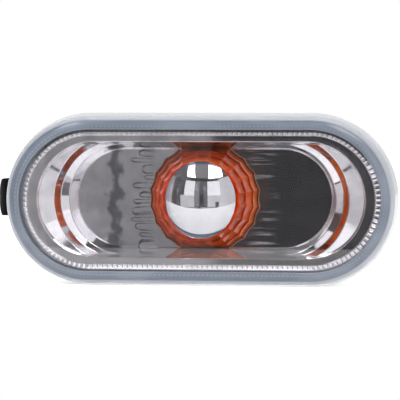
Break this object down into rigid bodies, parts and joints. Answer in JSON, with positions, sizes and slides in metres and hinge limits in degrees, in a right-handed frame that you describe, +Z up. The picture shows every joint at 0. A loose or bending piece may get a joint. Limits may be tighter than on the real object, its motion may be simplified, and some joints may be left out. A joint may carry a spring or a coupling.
{
  "type": "vehicle side indicator lamp",
  "caption": "Oblong side indicator lamp with a clear domed lens, stepped mirror reflector, faceted amber filter, bright bulb shield, spring clip and rear bulb holder with connector.",
  "frame": {"origin": "centre of the lamp's cut-out on the body panel's outer face, which the gasket's back face meets", "axes": "+X along the lamp, away from the spring clip; +Z up; -Y out of the panel, the way the lens faces"},
  "size_m": [0.0832, 0.0444, 0.0352],
  "materials": {
    "clear_lens": "clear polished moulded plastic",
    "metallised_reflector": "bright vacuum-metallised plastic",
    "amber_filter": "transparent amber moulded plastic",
    "bright_shield": "bright vacuum-metallised plastic",
    "grey_housing": "blue-grey moulded plastic",
    "foam_gasket": "closed-cell foam",
    "black_clip": "black moulded plastic",
    "black_holder": "black moulded plastic",
    "rubber_seal": "matte rubber",
    "tinned_contact": "tinned strip",
    "bulb_glass": "clear glass",
    "filament_wire": "bright drawn wire"
  },
  "bodies": {
    "root": {"lens": "clear_lens", "reflector": "metallised_reflector", "amber_filter": "amber_filter", "bulb_shield": "bright_shield", "housing": "grey_housing", "gasket": "foam_gasket", "spring_clip": "black_clip", "bulb_holder": "black_holder", "holder_seal": "rubber_seal", "contact_left": "tinned_contact", "contact_right": "tinned_contact", "bulb_glass": "bulb_glass", "bulb_filament": "filament_wire", "bulb_lead_left": "filament_wire", "bulb_lead_right": "filament_wire"}
  },
  "joints": []
}
